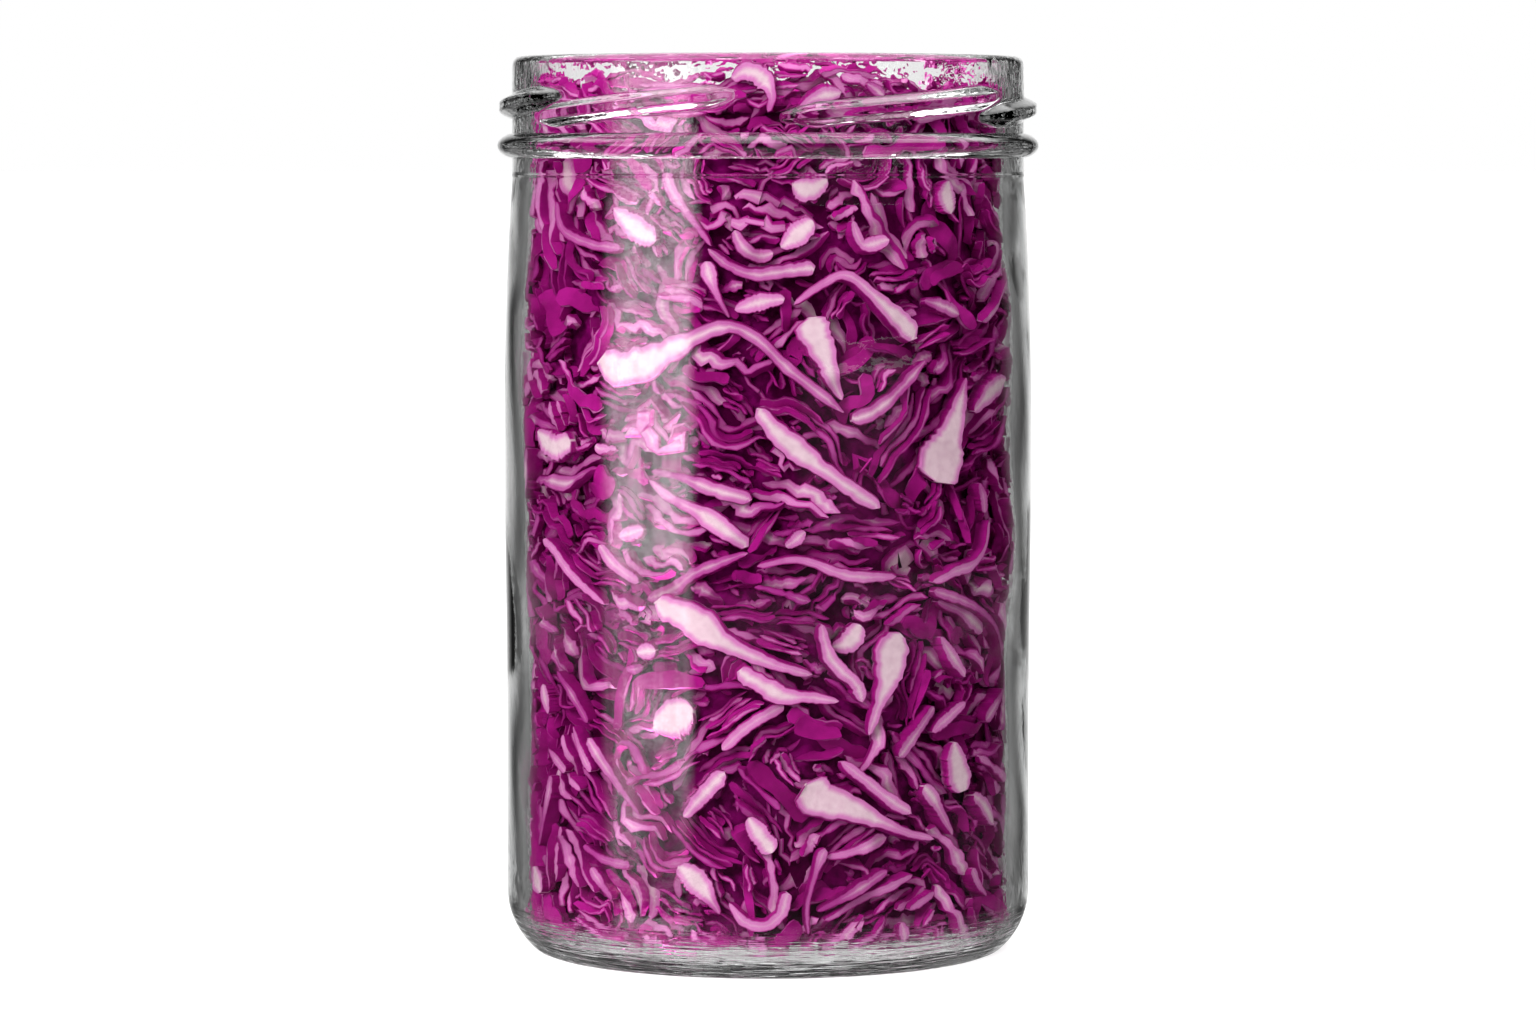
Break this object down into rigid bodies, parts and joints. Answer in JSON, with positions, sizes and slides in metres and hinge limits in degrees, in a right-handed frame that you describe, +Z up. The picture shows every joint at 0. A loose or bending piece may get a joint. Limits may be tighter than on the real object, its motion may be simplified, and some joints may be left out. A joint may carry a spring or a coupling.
{
  "type": "canning jar of shredded red cabbage",
  "caption": "Clear straight-sided glass canning jar with a twist-off neck, open at the top and packed with shredded red cabbage.",
  "frame": {"origin": "centre of the base, on the plane that the jar stands on", "axes": "+Z up along the jar's axis, -Y towards the viewer of the picture, +X to the viewer's right"},
  "size_m": [0.0826, 0.0826, 0.1365],
  "materials": {
    "clear_glass": "clear and smooth pressed glass, faintly wavy inside, with a fine parting line under the neck",
    "red_cabbage": "moist shredded leaf: dark magenta skins, lilac cut faces and cream white ribs"
  },
  "bodies": {
    "root": {"jar": "clear_glass", "cabbage": "red_cabbage"}
  },
  "joints": []
}
